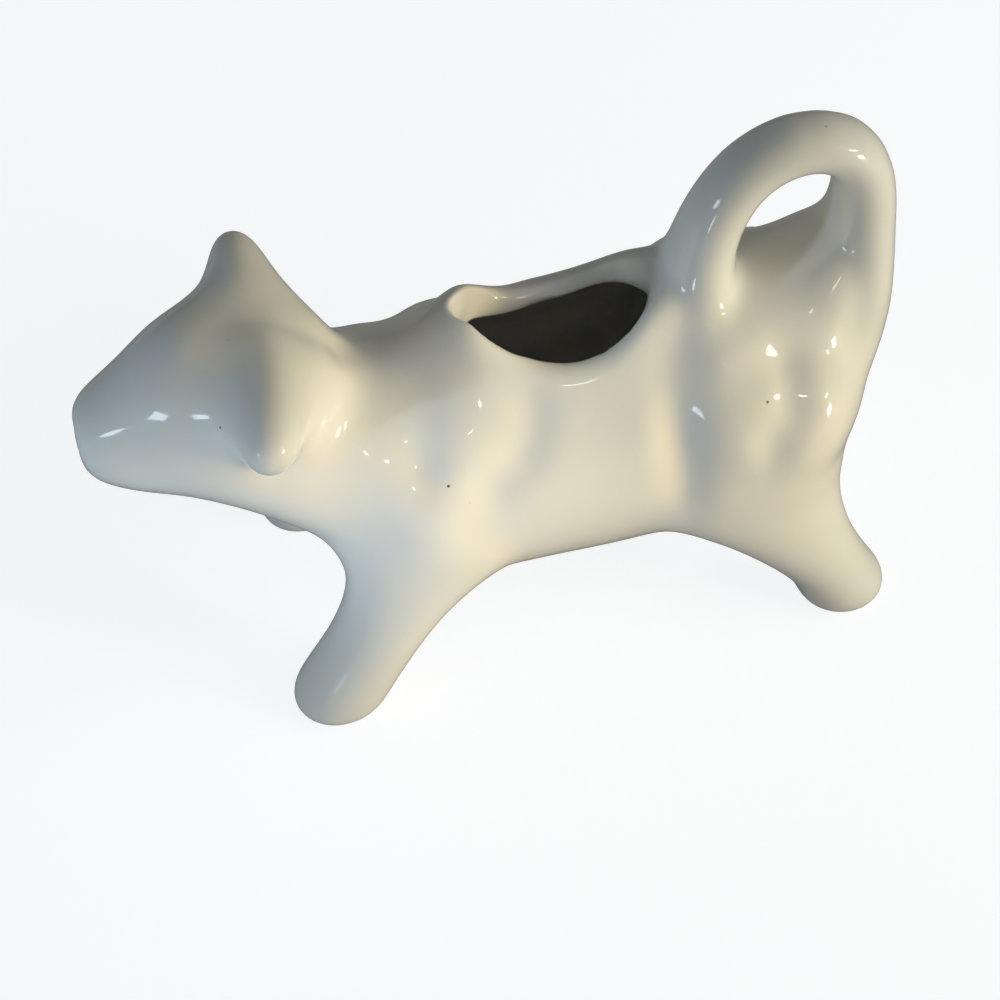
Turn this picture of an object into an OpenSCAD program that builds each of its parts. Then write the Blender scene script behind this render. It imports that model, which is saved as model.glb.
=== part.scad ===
// Cow creamer: a small glazed porcelain cream jug in the shape of a standing cow.
// The hollow body is filled through a saddle-shaped opening in the back and pours
// through the mouth. The tail loops up and over as the handle. Legs, ears and tail
// are cast apart and luted to the body with slip, so each one is its own piece here.
// The head points to -X, the tail to +X, and the feet stand on the plane Z = 0.

/* [Overall] */
// Length from the muzzle to the back of the tail loop
length = 170; // [150:1:195]
// Height from the table to the top of the tail loop
height = 111; // [104:1:125]

/* [Body] */
// Width of the barrel at its widest
barrel_w = 57; // [50:1:64]
// Height of the barrel at its tallest
barrel_h = 62; // [56:1:68]
// Height of the barrel's widest level above the table
barrel_z = 43.5; // [40:0.5:48]
// Height of the muzzle's middle above the table
muzzle_z = 66.7; // [60:0.5:72]
// Width of the head across the cheeks
head_w = 41; // [36:1:46]
// Height of the head from jaw to brow
head_h = 43; // [38:1:48]
// Wall of the casting
wall = 3.2; // [2.4:0.1:4.5]
// How far shoulder and haunch swell out of the barrel
muscle = 2.4; // [0:0.1:4]

/* [Openings] */
// Length of the filling opening along the back
filler_l = 36; // [30:1:42]
// Width of the filling opening
filler_w = 17.5; // [14:0.5:21]
// Distance of the filling opening's middle behind the muzzle
filler_in = 101; // [96:0.2:106]
// Height of the opening's edge above the table where it dips lowest
filler_z = 68.5; // [66:0.5:71]
// Rise of the edge toward the neck
filler_rise = 9.5; // [6:0.5:13]
// Thickness of the soft rim around the opening
rim = 5.6; // [4:0.2:7]
// Bore of the pouring hole in the muzzle
spout_d = 9; // [6:0.5:12]

/* [Legs] */
// Diameter of a foot at the table
foot_d = 20; // [17:0.5:23]
// Spacing of the left and right feet, centre to centre
stance_w = 56; // [50:1:62]
// Distance of the front feet's centres behind the muzzle
front_foot_in = 39.6; // [34:0.2:46]
// Distance of the rear feet's centres ahead of the back of the tail loop
rear_foot_in = 16.2; // [12:0.2:24]

/* [Tail] */
// Thickness of the tail loop at its top
tail_d = 13.2; // [11:0.2:16]

/* [Ears] */
// Span from ear tip to ear tip
ear_span = 66; // [60:1:76]
// Height of the ear tips' middle above the table
ear_z = 81; // [77:0.5:85]

/* [Hidden] */
porcelain = "#e9e4d6";

front_foot_x = front_foot_in - length / 2;
rear_foot_x = length / 2 - rear_foot_in;
filler_x = filler_in - length / 2;

// Points round a limb and round the opening
limb_n = 24;
edge_n = 48;
// Shares of the filling opening: how much wider than its middle it is toward the tail, how far
// its edge rises toward the tail against toward the neck, and where the saddle stops rising
filler_egg_share = 0.12;
tail_rise_share = 0.75;
saddle_end_share = 1.04;
// Shares of the rim: how far its slope spreads into the back, how much more it spreads toward
// the neck, and where along the opening that starts
rim_spread_share = 0.75;
neck_spread_share = 2.1;
rim_end_share = 0.35;

// Head, front to back. Shares: x of length, level of muzzle_z, half width of head_w,
// height above the level and depth below it of head_h
head_shares = [
    [-0.5, 0.997, 0.037, 0.035, 0.035],
    [-0.4995, 0.997, 0.11, 0.105, 0.105],
    [-0.493, 0.998, 0.185, 0.177, 0.177],
    [-0.479, 1, 0.239, 0.228, 0.223],
    [-0.457, 1.002, 0.293, 0.279, 0.274],
    [-0.425, 1.012, 0.356, 0.349, 0.33],
    [-0.384, 1.034, 0.434, 0.433, 0.409],
    [-0.342, 1.025, 0.5, 0.5, 0.479],
    [-0.301, 0.957, 0.522, 0.535, 0.5]
];
// Neck and barrel, front to back. Shares: x of length, level of barrel_z, half width of
// barrel_w, height above the level and depth below it of barrel_h
barrel_shares = [
    [-0.254, 1.297, 0.382, 0.381, 0.355],
    [-0.207, 1.163, 0.4, 0.403, 0.387],
    [-0.16, 1.076, 0.435, 0.405, 0.419],
    [-0.101, 1.002, 0.481, 0.443, 0.452],
    [-0.03, 0.989, 0.502, 0.49, 0.47],
    [0.04, 0.989, 0.498, 0.475, 0.482],
    [0.11, 0.993, 0.495, 0.468, 0.497],
    [0.181, 1.016, 0.498, 0.49, 0.508],
    [0.252, 1.034, 0.508, 0.505, 0.506],
    [0.323, 1.034, 0.502, 0.48, 0.486],
    [0.379, 1.06, 0.456, 0.42, 0.415],
    [0.422, 1.13, 0.372, 0.32, 0.315],
    [0.449, 1.2, 0.265, 0.225, 0.21],
    [0.464, 1.25, 0.14, 0.12, 0.12],
    [0.468, 1.26, 0.026, 0.024, 0.024]
];
// Soft forms in the skin. Shares: x of length, spread along x of length, height of muscle.
// Angles in degrees: from straight up, and its spread
form_shares = [
    [0.355, 0.074, 2, 78, 34],
    [0.2, 0.026, -0.6, 72, 30],
    [-0.12, 0.06, 1.1, 80, 30],
    [-0.035, 0.036, -0.5, 66, 24],
    [-0.267, 0.03, 1.5, 0, 55]
];
// Angle from straight up at which the skin's hollows are deepest
hollow_angle = 66;
// Legs from the foot up. Shares: height of barrel_z, x lean and sideways lean of length and of
// stance_w, thickness along and across of foot_d
front_leg_shares = [
    [0, 0.001, 0, 0.45, 0.43],
    [0.015, 0.001, 0, 0.5, 0.475],
    [0.06, 0.006, 0, 0.535, 0.5],
    [0.2, 0.031, 0.015, 0.555, 0.475],
    [0.36, 0.064, 0.04, 0.55, 0.475],
    [0.52, 0.098, 0.075, 0.61, 0.5],
    [0.7, 0.135, 0.125, 0.76, 0.55],
    [0.88, 0.153, 0.19, 0.86, 0.63],
    [1.02, 0.161, 0.26, 0.78, 0.64],
    [1.12, 0.164, 0.31, 0.6, 0.56]
];
rear_leg_shares = [
    [0, 0, 0, 0.42, 0.42],
    [0.015, 0, 0, 0.46, 0.46],
    [0.06, -0.001, 0, 0.485, 0.48],
    [0.2, -0.018, 0.015, 0.475, 0.47],
    [0.36, -0.046, 0.04, 0.55, 0.48],
    [0.52, -0.077, 0.08, 0.71, 0.51],
    [0.7, -0.109, 0.125, 0.91, 0.56],
    [0.9, -0.127, 0.19, 1, 0.64],
    [1.06, -0.134, 0.26, 0.88, 0.66],
    [1.18, -0.135, 0.31, 0.66, 0.58]
];
// Tail from its front root over the top to its rear root. Shares: x of length, z of height,
// half thickness and half width of tail_d; and the heading in degrees
tail_shares = [
    [0.25, 0.56, 0.75, 1.45, 84],
    [0.255, 0.615, 0.7, 1.4, 84],
    [0.26, 0.665, 0.6, 1.08, 82],
    [0.267, 0.746, 0.51, 0.73, 76],
    [0.285, 0.83, 0.46, 0.59, 64],
    [0.322, 0.91, 0.435, 0.53, 44],
    [0.378, 0.948, 0.43, 0.52, 10],
    [0.436, 0.923, 0.435, 0.53, -38],
    [0.4615, 0.846, 0.46, 0.6, -78],
    [0.46, 0.75, 0.52, 0.8, -92],
    [0.452, 0.65, 0.62, 1.05, -98],
    [0.434, 0.54, 0.8, 1.15, -104],
    [0.415, 0.46, 0.8, 1.05, -106]
];
// Slab where both roots of the tail spread over the rump, front to back. Shares: x of length,
// z of height, half height and half width of tail_d
saddle_shares = [
    [0.24, 0.585, 0.55, 1.1],
    [0.252, 0.592, 0.8, 1.48],
    [0.28, 0.592, 0.81, 1.5],
    [0.32, 0.592, 0.82, 1.3],
    [0.36, 0.592, 0.92, 1.25],
    [0.395, 0.588, 1.12, 1.27],
    [0.42, 0.58, 1.45, 1.2],
    [0.438, 0.565, 1.65, 1.05],
    [0.452, 0.545, 1, 0.7]
];
// Ear from the head out to its tip. Shares: y of ear_span, x of length, z of ear_z, half
// thickness and half height of head_h; and the lean in degrees
ear_shares = [
    [0.07, -0.267, 0.87, 0.36, 0.35, 20],
    [0.17, -0.269, 0.925, 0.29, 0.31, 18],
    [0.27, -0.272, 0.967, 0.215, 0.245, 16],
    [0.36, -0.274, 0.995, 0.165, 0.185, 14],
    [0.435, -0.274, 1.008, 0.12, 0.13, 12],
    [0.485, -0.274, 1.012, 0.07, 0.075, 12],
    [0.5, -0.274, 1.012, 0.02, 0.02, 12]
];

// Catmull-Rom value between b and c, for numbers or for rows of numbers
function spline(a, b, c, d, t) =
    b + 0.5 * ((c - a) * t + (2 * a - 5 * b + 4 * c - d) * t * t + (3 * b - a - 3 * c + d) * t * t * t);
// Rows of a table, with more rows between two of them, and most round the filling opening
function fine(rows, n, round_filler = false) = [
    for (i = [0:len(rows) - 2])
        let (m = round_filler && abs(rows[i][0] - filler_x + filler_l / 6) < filler_l * 0.85 ? 3 * n : n)
        for (k = [0:m - 1])
            spline(rows[max(i - 1, 0)], rows[i], rows[i + 1], rows[min(i + 2, len(rows) - 1)], k / m),
    rows[len(rows) - 1]
];
function bell(d, spread) = exp(-d * d / (spread * spread));

// Closed skin through a list of rings that have the same number of points
module skin(rings) {
    n = len(rings[0]);
    last = (len(rings) - 1) * n;
    polyhedron([for (ring = rings, p = ring) p], concat(
        [for (i = [0:len(rings) - 2], k = [0:n - 1]) let (a = i * n + k, b = i * n + (k + 1) % n)
            each [[a, b + n, b], [a, a + n, b + n]]],
        [for (k = [1:n - 2]) each [[0, k, k + 1], [last, last + k + 1, last + k]]]
    ), convexity = 8);
}
// Solid limb through a list of rounded rings
module limb(rings) { for (i = [0:len(rings) - 2]) hull() skin([rings[i], rings[i + 1]]); }

// Half width of the filling opening's egg, seen from above, at the share s of its half length
function filler_half(s) = filler_w / 2 * (1 + filler_egg_share * s);
// Height of the edge at x: a saddle that rises to both ends
function filler_top(x) = let (
    s = max(-saddle_end_share, min(saddle_end_share, (x - filler_x) / (filler_l / 2)))
) filler_z + s * s * (s < 0 ? filler_rise : tail_rise_share * filler_rise);
// Distance of a point from the edge, seen from above, less than 0 inside
function filler_gap(x, y) = let (
    s = (x - filler_x) / (filler_l / 2),
    q = max(0.01, norm([s, y / filler_half(s)]))
) (q - 1) * norm([x - filler_x, y]) / q;

body_rows = concat(
    [for (r = head_shares) [r[0] * length, r[1] * muzzle_z, r[2] * head_w, r[3] * head_h, r[4] * head_h]],
    [for (r = barrel_shares)
        [r[0] * length, r[1] * barrel_z, r[2] * barrel_w, r[3] * barrel_h, r[4] * barrel_h]]
);
// Angles of the points round a body section, closer together on the back, where the rim is
body_angles = [
    for (a = [-180:12:-48]) a,
    for (a = [-40:3.2:40]) a,
    for (a = [48:12:168]) a
];
function forms(x, a) = muscle * [for (f = form_shares)
    f[2] * bell(x / length - f[0], f[1]) * bell(abs(a) - f[3], f[4])] * [for (f = form_shares) 1];
// Point of the body's skin at the angle a from straight up
function body_point(row, a) = let (
    r = 1 + forms(row[0], a) / row[2],
    y = -row[2] * r * sin(a),
    z = row[1] + (cos(a) > 0 ? row[3] : row[4]) * r * cos(a),
    toward_neck = max(0, (filler_x - row[0]) / filler_l - rim_end_share),
    spread = rim * (rim_spread_share + neck_spread_share * toward_neck),
    near_rim = bell(max(0, abs(filler_gap(row[0], y) - rim / 2) - rim / 4), spread),
    lift = abs(a) < 90 ? near_rim * (filler_top(row[0]) + rim / 2 - z) : 0
) [row[0], y, z + lift];
function body_ring(row) = [for (a = body_angles) body_point(row, a)];
module body_outer() { skin([for (r = fine(body_rows, 2, true)) body_ring(r)]); }

// Inside of the casting, as a chain of elliptical slices that also stays a wall away from both
// ends and follows the hollows of the skin
function inner_slice(row) = let (
    x = row[0] - wall * sign(row[0]) * pow(2 * abs(row[0]) / length, 4),
    w = row[2] - wall + min(0, forms(row[0], hollow_angle)),
    up = row[3] - wall,
    down = row[4] - wall
) [
    for (k = [0:limb_n - 1]) let (a = 360 * k / limb_n)
        [x, w * cos(a), row[1] + (sin(a) > 0 ? up : down) * sin(a)]
];
module cavity() {
    limb([for (row = fine(body_rows, 1)) if (min(row[2], row[3], row[4]) > wall * 1.6) inner_slice(row)]);
}
// Cutter for the filling opening: straight below the edge, softly opened above it
function edge_ring(grow, rise) = [
    for (k = [0:edge_n - 1]) let (
        a = 360 * k / edge_n,
        x = filler_x + (filler_l / 2 + grow) * cos(a),
        y = (filler_half(cos(a)) + grow) * sin(a)
    ) [x, y, filler_top(x) + rise]
];
module filler_cut() {
    skin([
        edge_ring(-rim / 8, -barrel_h / 3),
        edge_ring(0, -rim / 2),
        edge_ring(0, 0),
        edge_ring(rim / 5, rim / 3),
        edge_ring(rim / 2, rim * 0.6),
        edge_ring(rim, barrel_h / 3)
    ]);
}
module spout_cut() {
    translate([-length / 2 - wall, 0, muzzle_z])
        rotate([0, 90, 0])
            cylinder(d = spout_d, h = 4 * wall, $fn = 32);
}

module body_shell() {
    color(porcelain) difference() {
        body_outer();
        cavity();
        filler_cut();
        spout_cut();
    }
}

// Leg on the left side, rings from the foot up
module leg(shares, foot_x, side) {
    limb([
        for (r = fine(shares, 2)) [
            for (k = [0:limb_n - 1]) let (a = 360 * k / limb_n) [
                foot_x + r[1] * length + r[3] * foot_d * cos(a),
                side * (stance_w / 2 - r[2] * stance_w) + r[4] * foot_d * sin(a),
                r[0] * barrel_z
            ]
        ]
    ]);
}
module luted_leg(shares, foot_x, side) {
    color(porcelain) difference() {
        leg(shares, foot_x, side);
        body_outer();
    }
}
module front_left_leg() { luted_leg(front_leg_shares, front_foot_x, -1); }
module front_right_leg() { luted_leg(front_leg_shares, front_foot_x, 1); }
module rear_left_leg() { luted_leg(rear_leg_shares, rear_foot_x, -1); }
module rear_right_leg() { luted_leg(rear_leg_shares, rear_foot_x, 1); }

module tail_handle() {
    color(porcelain) difference() {
        union() {
            limb([
                for (r = fine(tail_shares, 2)) [
                    for (k = [0:limb_n - 1]) let (a = -360 * k / limb_n, u = r[2] * tail_d * cos(a))
                        [
                            r[0] * length - u * sin(r[4]),
                            r[3] * tail_d * sin(a),
                            r[1] * height + u * cos(r[4])
                        ]
                ]
            ]);
            limb([
                for (r = fine(saddle_shares, 2)) [
                    for (k = [0:limb_n - 1]) let (a = 360 * k / limb_n) [
                        r[0] * length,
                        r[3] * tail_d * cos(a),
                        r[1] * height + r[2] * tail_d * sin(a)
                    ]
                ]
            ]);
        }
        body_outer();
    }
}

module ear(side) {
    color(porcelain) difference() {
        limb([
            for (r = fine(ear_shares, 2)) [
                for (k = [0:limb_n - 1]) let (
                    a = side * 360 * k / limb_n, u = r[3] * head_h * cos(a), v = -r[4] * head_h * sin(a)
                ) [
                    r[1] * length + u * cos(r[5]) - v * sin(r[5]),
                    side * r[0] * ear_span,
                    r[2] * ear_z + u * sin(r[5]) + v * cos(r[5])
                ]
            ]
        ]);
        body_outer();
    }
}
module left_ear() { ear(-1); }
module right_ear() { ear(1); }

body_shell();
left_ear();
right_ear();
tail_handle();
front_left_leg();
front_right_leg();
rear_left_leg();
rear_right_leg();
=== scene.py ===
"""Looks of the glazed porcelain cow creamer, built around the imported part.

Everything is in metres in the part's own frame: +X from head to tail, +Y toward the cow's
right side, +Z up, with the feet on z = 0. The solids of the part are luted clay pieces that
meet at hard joints. Here they are fused into one soft, glazed skin, as firing leaves them,
and that skin is then shared out again, one closed piece for each solid.
"""

import math

import bmesh
import bpy
import numpy as np
import openvdb
from mathutils import Matrix, Vector


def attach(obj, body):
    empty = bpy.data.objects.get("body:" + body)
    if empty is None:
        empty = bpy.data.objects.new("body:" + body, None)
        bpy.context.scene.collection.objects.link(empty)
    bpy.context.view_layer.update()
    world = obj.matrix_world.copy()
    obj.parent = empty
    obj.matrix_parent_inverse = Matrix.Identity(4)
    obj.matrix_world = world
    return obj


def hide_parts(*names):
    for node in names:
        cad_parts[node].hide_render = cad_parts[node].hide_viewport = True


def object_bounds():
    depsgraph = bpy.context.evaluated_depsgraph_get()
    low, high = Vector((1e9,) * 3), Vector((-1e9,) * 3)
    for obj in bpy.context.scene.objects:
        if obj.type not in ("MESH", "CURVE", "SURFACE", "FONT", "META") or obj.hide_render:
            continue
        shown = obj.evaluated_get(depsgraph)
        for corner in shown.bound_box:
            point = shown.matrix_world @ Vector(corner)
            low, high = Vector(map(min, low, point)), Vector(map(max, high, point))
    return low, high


MM = 0.001

# Fineness of the grid in which the solids are fused, how far it looks round a surface, and
# how many grid points it goes on beyond the solids
CELL = 0.75 * MM
REACH = 12 * MM
MARGIN = 6
# Small offset that keeps a value off 0, and the half step in which slopes are taken
HAIR = 0.01 * CELL
SLOPE_STEP = 0.8 * CELL
# Radius of the clay fillet at each joint, and of the overall softening by slip and glaze
FILLETS = {
    "left_ear": 7.5 * MM,
    "right_ear": 7.5 * MM,
    "tail_handle": 5 * MM,
    "front_left_leg": 9 * MM,
    "front_right_leg": 9 * MM,
    "rear_left_leg": 9 * MM,
    "rear_right_leg": 9 * MM,
}
SOFTNESS = 2.2 * MM
# The same for the hollow inside, the radius of the rolled edges at its two mouths, how far
# round a mouth they reach, and the wall that is kept everywhere else
HOLLOW_SOFTNESS = 0.9 * MM
ROLLED_EDGE = 1.8 * MM
MOUTH_REACH = 3 * MM
LEAST_WALL = 2.2 * MM
# How often the borders between the pieces are smoothed
BORDER_PASSES = 8
# Depth of the strip that goes in from the skin at a joint, longest edge of the hidden faces
# beyond it, and how often these are split and settled
CAP_DEPTH = 1 * MM
CAP_EDGE = 4 * MM
CAP_SPLITS = 4
CAP_PASSES = 10
# Level under which a sole is bare
SOLE_LEVEL = 0.2 * MM
# What the panels of light face, how far off they and the narrow beams stand, and how far the
# small windows do that the glaze mirrors
COW = Vector((0, 0, 0.05))
PANEL_DISTANCE = 1.0
BEAM_DISTANCE = 0.8
WINDOW_DISTANCE = 0.7
# Middle of the chest, which two beams light
CHEST = (-0.016, -0.02, 0.05)

# Soft swellings (plus) and hollows (minus) of the modelled clay, on the left side and mirrored
# to the right. Each has its centre, its spread along x, y and z, and its height.
FORMS = {
    "thigh": ((0.045, -0.028, 0.057), (0.007, 0.014, 0.011), 1.6 * MM),
    "flank groove": ((0.034, -0.025, 0.054), (0.0035, 0.012, 0.016), -1.8 * MM),
    "top of the thigh's valley": ((0.0575, -0.021, 0.067), (0.003, 0.006, 0.005), -1.2 * MM),
    "valley behind the thigh": ((0.0565, -0.027, 0.061), (0.003, 0.006, 0.005), -1.7 * MM),
    "foot of the thigh's valley": ((0.052, -0.031, 0.054), (0.0035, 0.006, 0.005), -1.7 * MM),
    "buttock": ((0.066, -0.024, 0.057), (0.0045, 0.010, 0.010), 0.9 * MM),
    "top of the front leg": ((-0.018, -0.030, 0.049), (0.007, 0.010, 0.007), 1.0 * MM),
    "shoulder blade": ((-0.009, -0.021, 0.062), (0.006, 0.010, 0.009), 1.2 * MM),
    "hollow before the shoulder": ((-0.0185, -0.022, 0.0615), (0.0035, 0.006, 0.006), -1.6 * MM),
    "top of the shoulder's valley": ((0.0055, -0.019, 0.0655), (0.0035, 0.006, 0.006), -1.5 * MM),
    "valley behind the shoulder": ((0.0015, -0.0235, 0.0595), (0.004, 0.006, 0.005), -1.8 * MM),
    "foot of the shoulder's valley": ((-0.005, -0.027, 0.0545), (0.004, 0.006, 0.004), -1.6 * MM),
    "forehead": ((-0.052, 0, 0.087), (0.005, 0.013, 0.006), 1.0 * MM),
    "rise behind the crest": ((-0.037, 0, 0.079), (0.006, 0.007, 0.006), 3.2 * MM),
    "front of the ear": ((-0.051, -0.023, 0.0865), (0.0035, 0.008, 0.006), -1.5 * MM),
    "hollow under the ear": ((-0.0465, -0.0195, 0.070), (0.004, 0.005, 0.005), -1.8 * MM),
    "lowest point of the rim": ((0.011, -0.008, 0.0735), (0.007, 0.005, 0.005), -0.9 * MM),
    "rise of the rim to the tail": ((0.029, -0.009, 0.077), (0.006, 0.006, 0.005), 0.9 * MM),
    "front of the rump crease": ((0.055, -0.0185, 0.0655), (0.005, 0.0025, 0.002), -1.2 * MM),
    "middle of the rump crease": ((0.061, -0.0175, 0.0645), (0.004, 0.0025, 0.002), -1.2 * MM),
    "end of the rump crease": ((0.067, -0.0175, 0.0605), (0.004, 0.0025, 0.0025), -1.2 * MM),
}
# The same on the left side alone, where the ridge runs straight from ear to ear
LEFT_FORMS = {
    "left half of the crest": ((-0.0415, -0.007, 0.087), (0.004, 0.010, 0.006), 1.4 * MM),
    "before the left ear's root": ((-0.0445, -0.003, 0.0855), (0.006, 0.006, 0.005), 1.6 * MM),
    "back of the left ear": ((-0.042, -0.022, 0.0855), (0.004, 0.009, 0.005), 1.5 * MM),
}
# The same for the hollow on both sides, where plus widens it
HOLLOW_FORMS = {
    "neck end of the opening": ((-0.0045, 0, 0.080), (0.006, 0.004, 0.007), 3.0 * MM),
    "under the rim at the neck": ((0, -0.005, 0.074), (0.0065, 0.0045, 0.005), 2.8 * MM),
    "sides of the opening": ((0.022, -0.009, 0.070), (0.014, 0.004, 0.005), 1.5 * MM),
}


def mesh_arrays(obj):
    """Vertices and triangles of a mesh object."""
    mesh = obj.data
    mesh.calc_loop_triangles()
    points = np.empty(len(mesh.vertices) * 3, np.float32)
    mesh.vertices.foreach_get("co", points)
    triangles = np.empty(len(mesh.loop_triangles) * 3, np.int32)
    mesh.loop_triangles.foreach_get("vertices", triangles)
    return points.reshape(-1, 3), triangles.reshape(-1, 3)


class Field:
    """A box of grid points that holds a distance to a surface, less than 0 inside it."""

    def __init__(self, low, high):
        self.start = np.floor(np.array(low) / CELL).astype(int) - MARGIN
        end = np.ceil(np.array(high) / CELL).astype(int) + MARGIN
        self.shape = tuple(end - self.start + 1)

    def of_mesh(self, points, triangles=None, quads=None):
        """Distances to a closed mesh."""
        grid = openvdb.FloatGrid.createLevelSetFromPolygons(
            points,
            triangles=triangles,
            quads=quads,
            transform=openvdb.createLinearTransform(voxelSize=CELL),
            halfWidth=REACH / CELL,
        )
        values = np.empty(self.shape, np.float32)
        grid.copyToArray(values, ijk=tuple(int(i) for i in self.start))
        return values

    def coordinates(self):
        """x, y and z of the grid points, in shapes that stretch over the box."""
        axes = [(self.start[i] + np.arange(self.shape[i])) * CELL for i in range(3)]
        return axes[0][:, None, None], axes[1][None, :, None], axes[2][None, None, :]

    def skin(self, values):
        """Points and four-sided faces of the surface where the values are 0."""
        grid = openvdb.FloatGrid(background=REACH)
        grid.copyFromArray(values, ijk=tuple(int(i) for i in self.start))
        grid.transform = openvdb.createLinearTransform(voxelSize=CELL)
        return grid.convertToQuads(isovalue=0.0)

    def sample(self, values, points):
        """Values at any points, straight lines between the grid points."""
        place = points / CELL - self.start
        base = np.clip(np.floor(place).astype(int), 0, np.array(self.shape) - 2)
        part = place - base
        total = np.zeros(len(points))
        for corner in np.ndindex(2, 2, 2):
            weight = np.prod(np.where(np.array(corner) == 1, part, 1 - part), axis=1)
            i, j, k = (base + corner).T
            total += weight * values[i, j, k]
        return total

    def slope(self, values, points):
        """Direction in which the values grow fastest at each point, of length about 1."""
        sides = []
        for axis in range(3):
            shift = np.zeros(3)
            shift[axis] = SLOPE_STEP
            sides.append(self.sample(values, points + shift) - self.sample(values, points - shift))
        return np.stack(sides, 1) / (2 * SLOPE_STEP)


def blur(values, radius):
    """Gaussian blur along the three axes."""
    reach = int(math.ceil(3 * radius / CELL))
    taps = np.exp(-0.5 * (np.arange(-reach, reach + 1) * CELL / radius) ** 2)
    taps /= taps.sum()
    for axis in range(3):
        padding = [(0, 0)] * 3
        padding[axis] = (reach, reach)
        wide = np.pad(values, padding, mode="edge")
        length = values.shape[axis]
        total = np.zeros_like(values)
        for k, tap in enumerate(taps):
            part = [slice(None)] * 3
            part[axis] = slice(k, k + length)
            total += np.float32(tap) * wide[tuple(part)]
        values = total
    return values


def soften(values, radius):
    """Blur that keeps the size of round forms: what one pass takes off, the second gives back."""
    once = blur(values, radius)
    return 2 * once - blur(once, radius)


def fillet(a, b, radius):
    """Union of two fields with a fillet where their surfaces meet."""
    share = np.clip(1 - np.abs(a - b) / radius, 0, 1)
    return np.minimum(a, b) - radius / 4 * share * share


def add_forms(field, values, forms, mirrored=True):
    """Raises and sinks a surface by soft forms, on both sides or on the left alone."""
    x, y, z = field.coordinates()
    side = np.abs(y) if mirrored else -y
    for centre, spread, height in forms.values():
        along = np.exp(-(((x - centre[0]) / spread[0]) ** 2))
        up = np.exp(-(((z - centre[2]) / spread[2]) ** 2))
        across = np.exp(-(((side + centre[1]) / spread[1]) ** 2))
        values = values - (height * along * up * across).astype(np.float32)
    return values


def filled_and_hollow(field, shell):
    """Splits the field of the hollow casting into one of its filled form and one of its hollow.

    A point is in the filled form where it has clay on both sides of it along y. What is filled
    and isn't clay is the hollow, which goes on out of the body at the two mouths. The third
    result is 1 at the mouths and falls to 0 away from them.
    """
    clay = shell < 0
    right = np.maximum.accumulate(clay, axis=1)
    left = np.maximum.accumulate(clay[:, ::-1], axis=1)[:, ::-1]
    filled = left & right
    hollow = filled & ~clay
    levels = np.arange(field.shape[2])
    top = np.where(filled, levels, -1).max(axis=2)
    open_top = np.take_along_axis(hollow, np.maximum(top, 0)[:, :, None], axis=2)
    hollow |= open_top & (levels > top[:, :, None])
    first = np.argmax(filled, axis=0)
    open_front = np.take_along_axis(hollow, first[None], axis=0) & filled.any(axis=0)[None]
    hollow |= open_front & (np.arange(field.shape[0])[:, None, None] < first[None])
    near_mouth = np.clip(2 * blur((hollow & ~filled).astype(np.float32), MOUTH_REACH), 0, 1)
    depth = np.abs(shell) + HAIR
    form = np.where(filled, -depth, depth)
    inside = np.where(hollow | filled, -shell, depth)
    inside = np.where(hollow, -depth, inside)
    points, quads = field.skin(form.astype(np.float32))
    form = field.of_mesh(points, quads=quads)
    points, quads = field.skin(inside.astype(np.float32))
    return form, field.of_mesh(points, quads=quads), near_mouth


def fused_skin(nodes, low, high):
    """The seamless skin that the firing makes of the solids, which lie in a box.

    It gives the grid, the fields of the solids by name, the field of the whole, and the skin's
    points, faces and normals, with the number of the solid that each face belongs to.
    """
    field = Field(low, high)
    solids = {name: field.of_mesh(*mesh_arrays(obj)) for name, obj in nodes.items()}
    whole, hollow, near_mouth = filled_and_hollow(field, solids["body_shell"])
    for name, radius in FILLETS.items():
        whole = fillet(whole, solids[name], radius)
    whole = add_forms(field, whole, FORMS)
    whole = soften(add_forms(field, whole, LEFT_FORMS, mirrored=False), SOFTNESS)
    hollow = soften(add_forms(field, hollow, HOLLOW_FORMS), HOLLOW_SOFTNESS)
    hollow = np.maximum(hollow, whole + LEAST_WALL - 2 * REACH * near_mouth)
    whole = -fillet(-whole, hollow, ROLLED_EDGE * near_mouth + CELL)
    below_table = (-field.coordinates()[2]).astype(np.float32)
    whole = np.maximum(whole, below_table)
    points, faces = field.skin(whole)
    points = points.astype(float)
    normals = field.slope(whole, points)
    normals /= np.linalg.norm(normals, axis=1, keepdims=True) + 1e-9
    centres = points[faces].mean(axis=1)
    nearest = np.argmin([field.sample(solid, centres) for solid in solids.values()], axis=0)
    owner = smooth_borders(nearest, faces, len(solids))
    return field, solids, whole, points, faces, normals, owner


def smooth_borders(owner, faces, owners):
    """Gives each face to the solid that most faces round it belong to, a few times over."""
    for _ in range(BORDER_PASSES):
        votes = np.zeros((faces.max() + 1, owners))
        np.add.at(votes, (faces.ravel(), np.repeat(owner, 4)), 1)
        owner = votes[faces].sum(axis=1).argmax(axis=1)
    return owner


def border_loops(edges):
    """Sorts the open edges of a mesh into closed loops."""
    left = set(edges)
    loops = []
    while left:
        loop, fresh = [], [left.pop()]
        while fresh:
            edge = fresh.pop()
            loop.append(edge)
            joined = [e for vert in edge.verts for e in vert.link_edges if e in left]
            left.difference_update(joined)
            fresh.extend(joined)
        loops.append(loop)
    return loops


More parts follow.
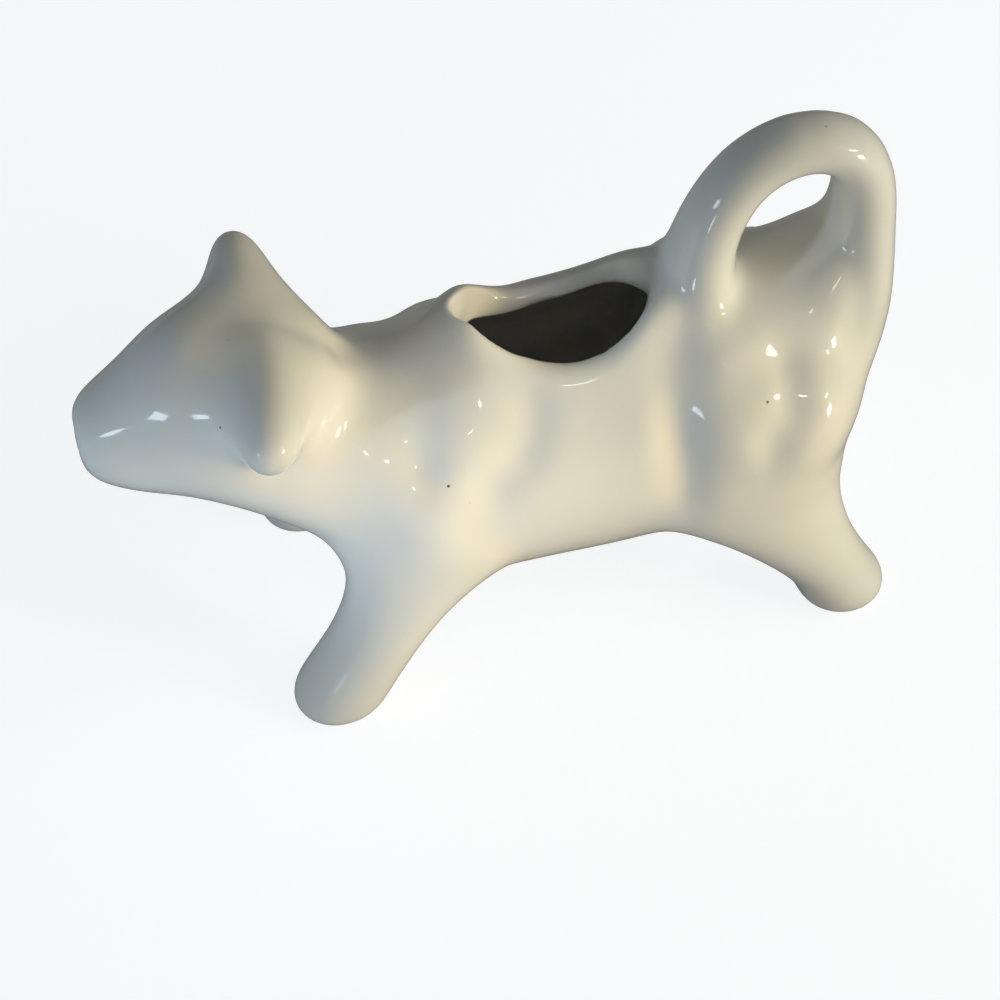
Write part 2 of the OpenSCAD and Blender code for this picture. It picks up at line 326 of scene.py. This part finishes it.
def hang_caps(mesh_edit, normals, skin):
    """Hangs a flat cap on a narrow strip that goes straight in from each cut of the skin."""
    for loop in border_loops([edge for edge in mesh_edit.edges if edge.is_boundary]):
        sides = [edge.verts[:] for edge in loop]
        inner = {
            vert: mesh_edit.verts.new(vert.co - CAP_DEPTH * Vector(normals[vert.index]))
            for vert in dict.fromkeys(vert for side in sides for vert in side)
        }
        for a, b in sides:
            mesh_edit.faces.new((a, b, inner[b], inner[a]))
        rim = [mesh_edit.edges.get((inner[a], inner[b])) for a, b in sides]
        bmesh.ops.triangle_fill(mesh_edit, use_beauty=True, edges=rim)
    first = len(mesh_edit.verts)
    for _ in range(CAP_SPLITS):
        caps = [face for face in mesh_edit.faces if face not in skin and len(face.verts) == 3]
        edges = dict.fromkeys(edge for face in caps for edge in face.edges)
        long_edges = [edge for edge in edges if edge.calc_length() > CAP_EDGE]
        bmesh.ops.subdivide_edges(mesh_edit, edges=long_edges, cuts=1)
        split = [face for face in mesh_edit.faces if face not in skin and len(face.verts) > 4]
        bmesh.ops.triangulate(mesh_edit, faces=split)
    return first


def cap_cuts(mesh_edit, normals, field, whole, gap):
    """Closes a piece with hidden faces, laid where it touches its neighbours (gap is 0).

    The new points settle nowhere nearer to the skin (whole is 0) than the strips are deep.
    """
    skin = set(mesh_edit.faces)
    first = hang_caps(mesh_edit, normals, skin)
    mesh_edit.verts.ensure_lookup_table()
    mesh_edit.verts.index_update()
    places = np.array([vert.co[:] for vert in mesh_edit.verts])
    pairs = np.array([[vert.index for vert in edge.verts] for edge in mesh_edit.edges])
    pairs = pairs[(pairs >= first).any(axis=1)]
    for _ in range(CAP_PASSES if len(pairs) else 0):
        total, count = np.zeros_like(places), np.zeros(len(places))
        for here, there in (pairs.T, pairs.T[::-1]):
            np.add.at(total, here, places[there])
            np.add.at(count, here, 1)
        middle = total[first:] / count[first:, None]
        slope = field.slope(gap, middle)
        height = field.sample(gap, middle)
        middle -= slope * (height / (np.sum(slope * slope, axis=1) + 0.1))[:, None]
        shallow = np.maximum(field.sample(whole, middle) + CAP_DEPTH, 0)
        places[first:] = middle - field.slope(whole, middle) * shallow[:, None]
    for vert, place in zip(mesh_edit.verts[first:], places[first:]):
        vert.co = place
    return [face for face in mesh_edit.faces if face not in skin]


def piece_from(name, points, faces, normals, materials, field, whole, gap):
    """One closed piece: its share of the skin, and a hidden cap over each cut."""
    used, inverse = np.unique(faces, return_inverse=True)
    mesh = bpy.data.meshes.new(name)
    mesh.from_pydata(points[used].tolist(), [], inverse.reshape(faces.shape).tolist())
    for material in materials:
        mesh.materials.append(material)
    mesh.polygons.foreach_set("use_smooth", [True] * len(mesh.polygons))
    own_normals = normals[used]
    mesh_edit = bmesh.new()
    mesh_edit.from_mesh(mesh)
    for face in mesh_edit.faces:
        face.material_index = int(all(vert.co.z < SOLE_LEVEL for vert in face.verts))
    for cap in cap_cuts(mesh_edit, own_normals, field, whole, gap):
        cap.smooth = False
    bmesh.ops.recalc_face_normals(mesh_edit, faces=mesh_edit.faces)
    mesh_edit.to_mesh(mesh)
    mesh_edit.free()
    obj = bpy.data.objects.new(name, mesh)
    bpy.context.scene.collection.objects.link(obj)
    corners = np.empty(len(mesh.loops), int)
    mesh.loops.foreach_get("vertex_index", corners)
    on_skin = [face.use_smooth for face in mesh.polygons]
    smooth = np.repeat(on_skin, [len(face.vertices) for face in mesh.polygons])
    corner_normals = np.zeros((len(corners), 3))
    corner_normals[smooth] = own_normals[corners[smooth]]
    mesh.normals_split_custom_set(corner_normals.tolist())
    return obj


def porcelain():
    """White body under a clear, thick glaze with slow waves in it."""
    material = bpy.data.materials.new("glazed_porcelain")
    material.use_nodes = True
    nodes, links = material.node_tree.nodes, material.node_tree.links
    shader = nodes["Principled BSDF"]
    shader.inputs["Roughness"].default_value = 0.3
    shader.inputs["Specular IOR Level"].default_value = 0.25
    shader.inputs["Coat Weight"].default_value = 1
    shader.inputs["Coat Roughness"].default_value = 0.03
    place = nodes.new("ShaderNodeTexCoord")
    # Cloudy warmth where the glaze lies thicker
    cloud = nodes.new("ShaderNodeTexNoise")
    cloud.inputs["Scale"].default_value = 28
    cloud.inputs["Detail"].default_value = 3
    tint = nodes.new("ShaderNodeValToRGB")
    tint.color_ramp.elements[0].position = 0.3
    tint.color_ramp.elements[0].color = (0.83, 0.815, 0.765, 1)
    tint.color_ramp.elements[1].position = 0.7
    tint.color_ramp.elements[1].color = (0.86, 0.85, 0.81, 1)
    links.new(place.outputs["Object"], cloud.inputs["Vector"])
    links.new(cloud.outputs["Fac"], tint.inputs["Fac"])
    # A few dark specks of iron fired into the glaze, each under 1 mm across
    speck = nodes.new("ShaderNodeTexVoronoi")
    speck.inputs["Scale"].default_value = 80
    edge = nodes.new("ShaderNodeMapRange")
    edge.inputs["From Min"].default_value = 0.018
    edge.inputs["From Max"].default_value = 0.032
    edge.inputs["To Min"].default_value = 1
    edge.inputs["To Max"].default_value = 0
    stained = nodes.new("ShaderNodeMixRGB")
    stained.inputs["Color2"].default_value = (0.16, 0.13, 0.1, 1)
    links.new(place.outputs["Object"], speck.inputs["Vector"])
    links.new(speck.outputs["Distance"], edge.inputs["Value"])
    links.new(edge.outputs["Result"], stained.inputs["Fac"])
    links.new(tint.outputs["Color"], stained.inputs["Color1"])
    links.new(stained.outputs["Color"], shader.inputs["Base Color"])
    # Waves of the fired glaze, seen only in its reflections
    wave = nodes.new("ShaderNodeTexNoise")
    wave.inputs["Scale"].default_value = 75
    wave.inputs["Detail"].default_value = 1.5
    bump = nodes.new("ShaderNodeBump")
    bump.inputs["Strength"].default_value = 0.25
    bump.inputs["Distance"].default_value = 0.5 * MM
    links.new(place.outputs["Object"], wave.inputs["Vector"])
    links.new(wave.outputs["Fac"], bump.inputs["Height"])
    links.new(bump.outputs["Normal"], shader.inputs["Coat Normal"])
    return material


def bare_clay():
    """Unglazed, slightly rough ring on which a sole stands."""
    material = bpy.data.materials.new("bare_clay")
    material.use_nodes = True
    nodes, links = material.node_tree.nodes, material.node_tree.links
    shader = nodes["Principled BSDF"]
    shader.inputs["Roughness"].default_value = 0.75
    place = nodes.new("ShaderNodeTexCoord")
    grain = nodes.new("ShaderNodeTexNoise")
    grain.inputs["Scale"].default_value = 900
    tint = nodes.new("ShaderNodeValToRGB")
    tint.color_ramp.elements[0].color = (0.62, 0.57, 0.48, 1)
    tint.color_ramp.elements[1].color = (0.76, 0.73, 0.66, 1)
    links.new(place.outputs["Object"], grain.inputs["Vector"])
    links.new(grain.outputs["Fac"], tint.inputs["Fac"])
    links.new(tint.outputs["Color"], shader.inputs["Base Color"])
    return material


def lamp(data, place, toward, mirrored):
    """Sets up a light that no camera sees, and that the glaze shows only where it is mirrored."""
    light = bpy.data.objects.new(data.name, data)
    light.location = place
    light.rotation_euler = (toward - place).to_track_quat("-Z", "Y").to_euler()
    light.visible_camera = False
    light.visible_glossy = mirrored
    bpy.context.scene.collection.objects.link(light)


def away_from_cow(bearing, rise):
    """Direction at a bearing from the cow's left side toward its tail, and a rise, in degrees."""
    bearing, rise = math.radians(bearing), math.radians(rise)
    level = Vector((math.sin(bearing), -math.cos(bearing), 0))
    return math.cos(rise) * level + math.sin(rise) * Vector((0, 0, 1))


def rectangle(name, size, radiance, colour):
    """Rectangular light of an even radiance."""
    data = bpy.data.lights.new(name, "AREA")
    data.shape = "RECTANGLE"
    data.size, data.size_y = size
    data.energy = radiance * math.pi * size[0] * size[1]
    data.color = colour
    return data


def panel(name, bearing, rise, size, radiance, colour, distance=PANEL_DISTANCE):
    """Soft panel that lights the cow and that its glaze doesn't mirror."""
    place = COW + distance * away_from_cow(bearing, rise)
    lamp(rectangle(name, size, radiance, colour), place, COW, False)


def window(name, bearing, rise, size, radiance, colour):
    """Small bright panel that the glaze mirrors."""
    place = COW + WINDOW_DISTANCE * away_from_cow(bearing, rise)
    lamp(rectangle(name, size, radiance, colour), place, COW, True)


def card(name, x, y, size, radiance, colour):
    """Bright patch of the table, which lights the cow from below."""
    lamp(rectangle(name, size, radiance, colour), Vector((x, y, MM)), Vector((x, y, 1)), False)


def beam(name, bearing, rise, target, radius, strength, colour):
    """Narrow beam with a soft edge, which lights a circle of the cow's side."""
    data = bpy.data.lights.new(name, "SPOT")
    data.energy = strength * (2 * math.pi * BEAM_DISTANCE) ** 2
    data.color = colour
    data.spot_size = 2 * math.atan(radius / BEAM_DISTANCE)
    data.spot_blend = 0.35
    data.shadow_soft_size = 0.04
    target = Vector(target)
    lamp(data, target + BEAM_DISTANCE * away_from_cow(bearing, rise), target, False)


def table(name, level, shade, glow):
    """Large pale table top at a level."""
    bpy.ops.mesh.primitive_plane_add(size=8, location=(0, 0, level))
    top = bpy.context.object
    top.name = name
    material = bpy.data.materials.new(name)
    material.use_nodes = True
    shader = material.node_tree.nodes["Principled BSDF"]
    shader.inputs["Base Color"].default_value = (shade, shade, shade, 1)
    shader.inputs["Roughness"].default_value = 0.9
    shader.inputs["Emission Color"].default_value = (0.96, 0.98, 1, 1)
    shader.inputs["Emission Strength"].default_value = glow
    top.data.materials.append(material)
    return top


def studio():
    """A white table that throws little light back, under low walls of light.

    The light is warm toward the tail and cool toward the head. The table that is seen glows by
    itself and lights nothing. The one just under it isn't seen, and throws the light back.
    """
    seen = table("floor", 0, 0.3, 0.86)
    seen.visible_diffuse = seen.visible_glossy = seen.visible_shadow = False
    bounce = table("floor_bounce", -0.5 * MM, 0.62, 0)
    bounce.visible_camera = False
    world = bpy.data.worlds.new("dim_room")
    world.use_nodes = True
    room = world.node_tree.nodes["Background"]
    room.inputs["Color"].default_value = (1, 0.95, 0.86, 1)
    room.inputs["Strength"].default_value = 0.04
    bpy.context.scene.world = world
    # Bearing and rise in degrees, width and height in metres, radiance, colour
    panel("cool_low_wall", -90, 5, (0.7, 0.16), 0.9, (0.35, 0.8, 1))
    panel("front_low_wall", 15, 5, (0.7, 0.14), 2.1, (1, 0.78, 0.48))
    panel("warm_low_wall", 62, 5, (0.8, 0.14), 5.2, (1, 0.92, 0.7))
    panel("warm_wall", 68, 24, (0.75, 0.3), 4.2, (0.97, 1, 0.84))
    panel("warm_sky", 60, 48, (0.6, 0.3), 0.7, (0.8, 0.9, 1))
    panel("cool_sky", -115, 48, (0.35, 0.3), 1.7, (0.72, 0.84, 1))
    panel("back_wall", 180, 20, (0.8, 0.4), 1.4, (1, 0.98, 0.86), distance=1.2)
    card("cool_card", -0.11, -0.085, (0.12, 0.09), 0.42, (0.5, 0.7, 1))
    # Bearing and rise, what the beam is aimed at, its radius there, strength, colour
    beam("cool_beam", -70, 6, (-0.062, -0.015, 0.055), 0.05, 0.42, (0.64, 0.83, 1))
    beam("pale_beam", -10, 8, CHEST, 0.05, 0.26, (0.82, 0.9, 1))
    beam("warm_beam", 55, 8, CHEST, 0.056, 0.32, (1, 0.68, 0.2))
    warm, cool = (1, 0.9, 0.7), (0.72, 0.87, 1)
    window("warm_window", 52, 4, (0.12, 0.08), 22, warm)
    window("warm_upper_window", 54, 19, (0.1, 0.05), 14, warm)
    window("cool_window", -68, 15, (0.13, 0.07), 9, cool)
    window("cool_low_window", -50, 3, (0.06, 0.08), 9, cool)
    window("small_lamp", 5, 40, (0.05, 0.02), 14, (1, 0.97, 0.9))
    bpy.context.scene.view_settings.view_transform = "Standard"


def camera():
    """Held above the cow's left side and rolled a little, as the photograph was taken."""
    bearing, rise, roll = -6, 50, math.radians(7.63)
    distance, target = 0.450, Vector((-0.00136, 0, 0.01973))
    back = away_from_cow(bearing, rise)
    level = Vector((0, 0, 1)).cross(back).normalized()
    upright = back.cross(level)
    right = math.cos(roll) * level - math.sin(roll) * upright
    up = math.sin(roll) * level + math.cos(roll) * upright
    data = bpy.data.cameras.new("camera")
    data.sensor_width = 36
    data.lens = 72.83
    data.clip_start = 0.01
    obj = bpy.data.objects.new("camera", data)
    axes = Matrix((right, up, back)).transposed().to_4x4()
    obj.matrix_world = Matrix.Translation(target + back * distance) @ axes
    bpy.context.scene.collection.objects.link(obj)
    bpy.context.scene.camera = obj


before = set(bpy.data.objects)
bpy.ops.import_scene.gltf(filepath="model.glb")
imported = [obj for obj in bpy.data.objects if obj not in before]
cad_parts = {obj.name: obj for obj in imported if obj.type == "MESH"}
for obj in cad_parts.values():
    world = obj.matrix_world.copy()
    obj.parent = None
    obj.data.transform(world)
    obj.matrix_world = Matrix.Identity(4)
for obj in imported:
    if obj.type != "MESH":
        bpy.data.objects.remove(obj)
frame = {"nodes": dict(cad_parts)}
cad_box = [list(corner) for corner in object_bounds()]

finishes = [porcelain(), bare_clay()]
field, solids, whole, points, faces, normals, owner = fused_skin(frame["nodes"], *cad_box)
for index, name in enumerate(solids):
    others = np.min([solid for other, solid in solids.items() if other != name], axis=0)
    gap = solids[name] - others
    share = faces[owner == index]
    piece = piece_from("porcelain_" + name, points, share, normals, finishes, field, whole, gap)
    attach(piece, "root")
    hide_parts(name)
studio()
camera()
